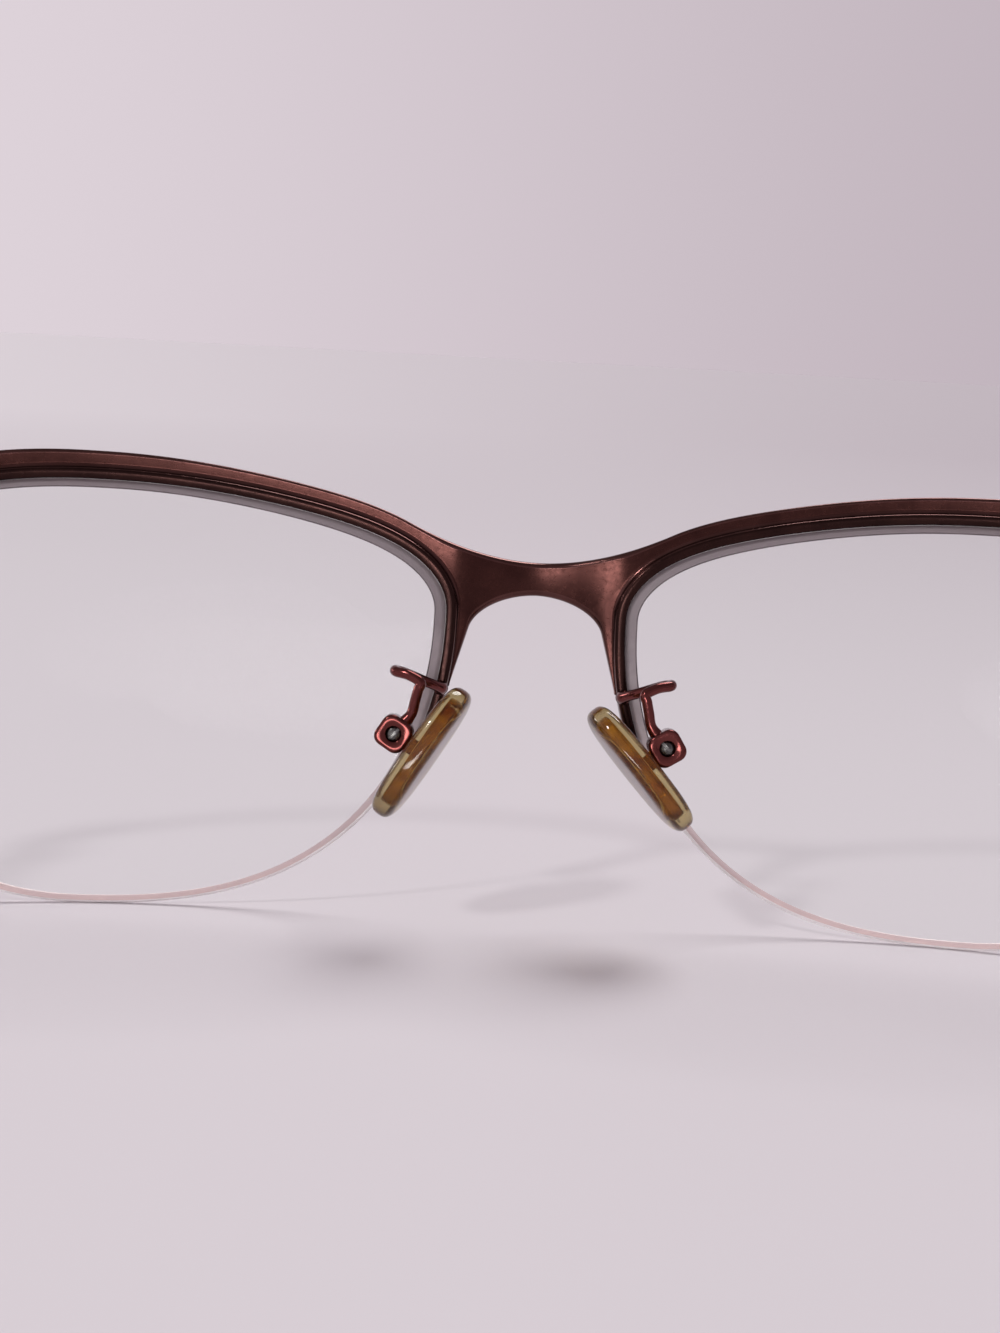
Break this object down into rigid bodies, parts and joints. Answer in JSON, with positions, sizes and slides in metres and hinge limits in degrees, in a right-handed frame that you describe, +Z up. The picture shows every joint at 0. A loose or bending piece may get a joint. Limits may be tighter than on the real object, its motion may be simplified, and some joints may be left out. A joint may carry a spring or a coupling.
{
  "type": "eyeglass frame",
  "caption": "Half-rim metal eyeglass frame with nylon-held clear lenses, folding temples and rocking silicone nose pads on gooseneck arms.",
  "frame": {"origin": "middle of the footprint on the table, at the table's height", "axes": "+X to the wearer's right, +Y the way the wearer looks, +Z up; the frame stands open on its nylon cords and temple tips"},
  "size_m": [0.1366, 0.1464, 0.0398],
  "materials": {
    "frame_metal": "satin brown burgundy plating",
    "screw_steel": "turned steel",
    "clear_lens": "polished clear, frosted at the edge",
    "nylon": "translucent",
    "silicone": "translucent, smooth",
    "amber_core": "translucent amber",
    "tip_plastic": "polished dark brown"
  },
  "bodies": {
    "front": {"front": "frame_metal", "eyewire_left": "frame_metal", "liner_left": "nylon", "lens_left": "clear_lens", "nylon_cord_left": "nylon", "endpiece_left": "frame_metal", "front_hinge_left": "frame_metal", "hinge_screw_left": "screw_steel", "pad_arm_left": "frame_metal", "pad_box_left": "frame_metal", "pad_screw_left": "screw_steel", "eyewire_right": "frame_metal", "liner_right": "nylon", "lens_right": "clear_lens", "nylon_cord_right": "nylon", "endpiece_right": "frame_metal", "front_hinge_right": "frame_metal", "hinge_screw_right": "screw_steel", "pad_arm_right": "frame_metal", "pad_box_right": "frame_metal", "pad_screw_right": "screw_steel"},
    "temple_left": {"temple_hinge_left": "frame_metal", "temple_left": "frame_metal", "temple_tip_left": "tip_plastic"},
    "pad_left": {"pad_core_left": "amber_core", "nose_pad_left": "silicone"},
    "temple_right": {"temple_hinge_right": "frame_metal", "temple_right": "frame_metal", "temple_tip_right": "tip_plastic"},
    "pad_right": {"pad_core_right": "amber_core", "nose_pad_right": "silicone"}
  },
  "joints": [
    {"name": "temple_fold_left", "type": "hinge", "parent": "front", "child": "temple_left", "pos_m": [-0.06457, 0.057, 0.0284], "axis": [0, -0.0041, 1], "range_deg": [0, 87]},
    {"name": "temple_fold_right", "type": "hinge", "parent": "front", "child": "temple_right", "pos_m": [0.06457, 0.057, 0.0284], "axis": [0, -0.0041, 1], "range_deg": [-91, 0]},
    {"name": "pad_rock_left", "type": "hinge", "parent": "front", "child": "pad_left", "pos_m": [-0.0117, 0.06345, 0.0175], "axis": [0, -0.9908, 0.1351], "range_deg": [-13.5, 4]},
    {"name": "pad_rock_right", "type": "hinge", "parent": "front", "child": "pad_right", "pos_m": [0.0117, 0.06345, 0.0175], "axis": [0, -0.9908, 0.1351], "range_deg": [-13.5, 4]}
  ]
}
